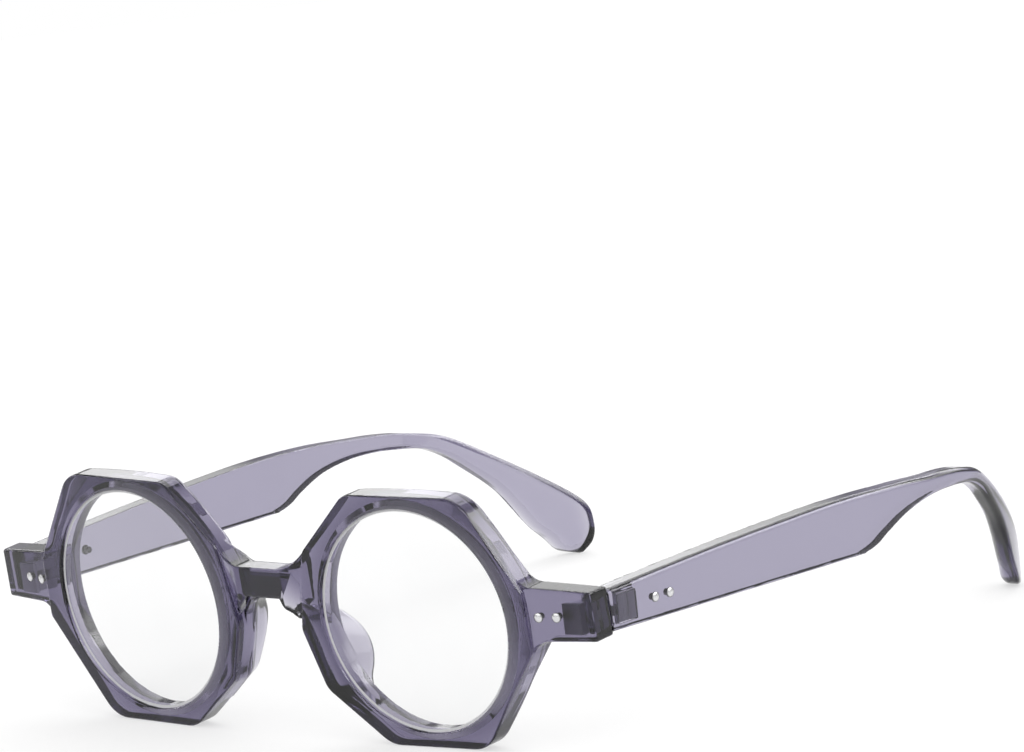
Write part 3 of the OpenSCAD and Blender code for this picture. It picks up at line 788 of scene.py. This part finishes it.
# The front and the temples. Each box holds the piece with some air round it.
FRONT_BOX = ((-71.5, -1.6, -25.5), (71.5, 14.6, 22.5))
TEMPLE_BOX = ((44, 8.5, -24.5), (73.5, 143, 8.2))
FRONT_STEP = 0.25
TEMPLE_STEP = 0.3
points, quads, normals = skin(front_distance, *FRONT_BOX, FRONT_STEP)
points, normals = points @ LEAN_TURN.T, normals @ LEAN_TURN.T
front = make("front_shell", stand(points), quads.tolist(), normals, front_plastic)
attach(front, "front")
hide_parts("front_frame", "left_nose_pad", "right_nose_pad")

points, quads, normals = skin(temple_distance, *TEMPLE_BOX, TEMPLE_STEP)
for side, flip in (("left", 1), ("right", -1)):
    mirror = np.array([flip, 1, 1])
    faces = quads[:, ::flip].tolist()
    blade = make(side + "_blade", stand(points * mirror), faces, normals * mirror, temple_plastic)
    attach(blade, side + "_temple_body")
    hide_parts(side + "_temple")


# The lenses
LENS_CURVE = 260
LENS_T = 2.0
LENS_BEVEL = math.radians(47)
LENS_FRONT_EDGE = 0.75
EDGE_FLAT = 0.1
GROUND_W = 0.5
GROUND_BANDS = 4
LENS_RINGS = 14
LENS_SEGMENTS = 160


def revolve(profile, segments, place):
    """Solid of revolution from (radius, depth) pairs that start and end on the axis"""
    points = [place(0, 0, profile[0][1])]
    for radius, depth in profile[1:-1]:
        for i in range(segments):
            a = 2 * math.pi * i / segments
            points.append(place(radius * math.cos(a), radius * math.sin(a), depth))
    points.append(place(0, 0, profile[-1][1]))
    rings = len(profile) - 2
    last = len(points) - 1
    turns = [(i, (i + 1) % segments) for i in range(segments)]
    faces = [(0, 1 + i, 1 + j) for i, j in turns]
    for k in range(rings - 1):
        a, b = 1 + k * segments, 1 + (k + 1) * segments
        faces += [(a + i, b + i, b + j, a + j) for i, j in turns]
    a = 1 + (rings - 1) * segments
    faces += [(a + i, last, a + j) for i, j in turns]
    return np.array(points), faces


def sag(r):
    """How far a lens face falls back at the radius r"""
    return LENS_CURVE - math.sqrt(LENS_CURVE ** 2 - r * r)


glass_r = HOLE_R - LENS_GAP
edge_r = GROOVE_R - LENS_GAP
ring_r = HOLE_R - GROUND_W
face_r = edge_r - (FRONT_T / 2 - LENS_FRONT_EDGE) / math.tan(LENS_BEVEL)
front_start = LENS_FRONT_EDGE - sag(face_r)
rear_edge = front_start + LENS_T + sag(glass_r)
rear_r = edge_r - (rear_edge - FRONT_T / 2) / math.tan(LENS_BEVEL)
front_radii = [ring_r * i / LENS_RINGS for i in range(LENS_RINGS + 1)]
rear_radii = [rear_r * i / LENS_RINGS for i in range(LENS_RINGS, -1, -1)]
lens_profile = [(r, front_start + sag(r)) for r in front_radii]
lens_profile.append((face_r, LENS_FRONT_EDGE))
lens_profile.append((edge_r, FRONT_T / 2 - EDGE_FLAT / 2))
lens_profile.append((edge_r, FRONT_T / 2 + EDGE_FLAT / 2))
lens_profile += [(r, front_start + LENS_T + sag(r)) for r in rear_radii]


def at_lens(side):
    def place(a, b, depth):
        u = LENS_U + a
        x = u * math.cos(WRAP) - depth * math.sin(WRAP)
        y = u * math.sin(WRAP) + depth * math.cos(WRAP)
        p = np.array([side * x, y, -LENS_DROP + b])
        return stand(LEAN_TURN @ p)
    return place


for side, sign in (("left", 1), ("right", -1)):
    points, faces = revolve(lens_profile, LENS_SEGMENTS, at_lens(sign))
    faces = [face[::sign] for face in faces]
    lens = make(side + "_lens_disc", points, faces, None, lens_plastic)
    lens.data.set_sharp_from_angle(angle=math.radians(15))
    lens.data.materials.append(ground_edge)
    first = LENS_RINGS * LENS_SEGMENTS
    for polygon in lens.data.polygons:
        if first <= polygon.index < first + GROUND_BANDS * LENS_SEGMENTS:
            polygon.material_index = 1
    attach(lens, "front")
    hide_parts(side + "_lens")

# The metal pieces are shown from the CAD nodes
finish = {"hinge_metal": hinge_steel, "screw_metal": screw_steel, "clear_lens": lens_plastic}
face_turn = WRAP + END_TURN
for side, sign in (("left", 1), ("right", -1)):
    outward = math.cos(face_turn)
    front_axis = (
        sign * math.sin(face_turn), -outward * math.cos(LEAN), -outward * math.sin(LEAN)
    )
    temple_axis = (sign * math.cos(SPLAY), -math.sin(SPLAY), 0)
    finish[side + "_front"] = rivet(side + "_front_rivet_silver", front_axis)
    finish[side + "_temple"] = rivet(side + "_temple_rivet_silver", temple_axis)
for name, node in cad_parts.items():
    part = name.split("_rivet")[0] if "_rivet" in name else None
    for slot in node.material_slots:
        if part:
            slot.material = finish[part]
        elif slot.material and slot.material.name in finish:
            slot.material = finish[slot.material.name]

# Studio walls: brightness against the sine of the elevation
THROUGH = [(0.3, 1.0), (0.38, 0.3), (0.5, 0.14), (0.85, 0.06), (0.97, 0.3)]
WALLS = [
    (0.02, 0.05), (0.17, 0.06), (0.24, 0.25), (0.29, 0.44),
    (0.31, 0.44), (0.4, 0.48), (0.47, 0.08), (0.95, 0.17),
]
SIDE_LIGHT = [(0.42, 0), (0.48, 1), (0.62, 1), (0.67, 0)]
SIDE_LIGHT_EDGE = 0.05
MIRRORED_GAIN = 6.0
WHITE = (1, 1, 1, 1)

world = bpy.data.worlds.new("studio")
bpy.context.scene.world = world
world.use_nodes = True
tree = world.node_tree
for n in list(tree.nodes):
    tree.nodes.remove(n)
direction = add(tree, "ShaderNodeTexCoord").outputs["Generated"]
direction = add(tree, "ShaderNodeSeparateXYZ", {0: direction})


def by_height(stops):
    ramp = add(tree, "ShaderNodeValToRGB", {"Fac": direction.outputs["Z"]})
    while len(ramp.color_ramp.elements) < len(stops):
        ramp.color_ramp.elements.new(0.5)
    for element, (at, value) in zip(ramp.color_ramp.elements, stops):
        element.position = at
        element.color = (value, value, value, 1)
    return ramp.outputs["Color"]


side_light = ranged(tree, direction.outputs["X"], 0, 1, -SIDE_LIGHT_EDGE, SIDE_LIGHT_EDGE)
side_light = scaled(tree, by_height(SIDE_LIGHT), side_light)
lights = {0: by_height(WALLS), 1: side_light}
lights = add(tree, "ShaderNodeVectorMath", lights, operation="ADD").outputs[0]
rays = add(tree, "ShaderNodeLightPath")
colour = mix(tree, rays.outputs["Is Glossy Ray"], WHITE, scaled(tree, lights, MIRRORED_GAIN))
colour = mix(tree, rays.outputs["Is Transmission Ray"], colour, by_height(THROUGH))
background = add(tree, "ShaderNodeBackground", {"Color": colour})
add(tree, "ShaderNodeOutputWorld", {"Surface": background.outputs[0]})

# Floor: pale and matt, with a glow that only what sees it directly gets
FLOOR_R = 0.9
FLOOR_SIDES = 96
FLOOR_GAP = 0.00002
FLOOR_GLOW = 0.58
FLOOR_GREY = (0.4, 0.4, 0.4, 1)
floor_mesh = bpy.data.meshes.new("floor")
angles = [math.tau * i / FLOOR_SIDES for i in range(FLOOR_SIDES)]
rim = [(FLOOR_R * math.cos(a), FLOOR_R * math.sin(a), 0) for a in angles]
floor_mesh.from_pydata(rim, [], [tuple(range(FLOOR_SIDES))])
floor = bpy.data.objects.new("floor", floor_mesh)
bpy.context.scene.collection.objects.link(floor)
floor.location.z = float(cad_low.z) - FLOOR_GAP

material, tree = nodes_of("floor_white")
rays = add(tree, "ShaderNodeLightPath").outputs
direct = rays["Is Camera Ray"]
for kind in ("Is Glossy Ray", "Is Transmission Ray"):
    both = {0: direct, 1: rays[kind]}
    direct = add(tree, "ShaderNodeMath", both, operation="MAXIMUM").outputs[0]
strength = ranged(tree, direct, 0, FLOOR_GLOW)
glow = add(tree, "ShaderNodeEmission", {"Color": WHITE, "Strength": strength})
matt = add(tree, "ShaderNodeBsdfDiffuse", {"Color": FLOOR_GREY})
both = add(tree, "ShaderNodeAddShader", {0: matt.outputs[0], 1: glow.outputs[0]})
add(tree, "ShaderNodeOutputMaterial", {"Surface": both.outputs[0]})
floor_mesh.materials.append(material)


def lamp(name, place, size, power):
    """Soft box that points at the middle of the floor"""
    data = bpy.data.lights.new(name, "AREA")
    data.shape = "RECTANGLE"
    data.size, data.size_y = size
    data.energy = power
    light = bpy.data.objects.new(name, data)
    bpy.context.scene.collection.objects.link(light)
    light.location = place
    light.rotation_mode = "QUATERNION"
    light.rotation_quaternion = (-Vector(place)).to_track_quat("-Z", "Y")
    light.visible_camera = False
    light.visible_transmission = False


lamp("top_box", (-0.6, 0.9, 1.3), (1.6, 1.0), 9)
lamp("front_box", (1.2, -0.6, 1.2), (0.8, 0.8), 3)

bpy.context.scene.view_settings.view_transform = "Standard"
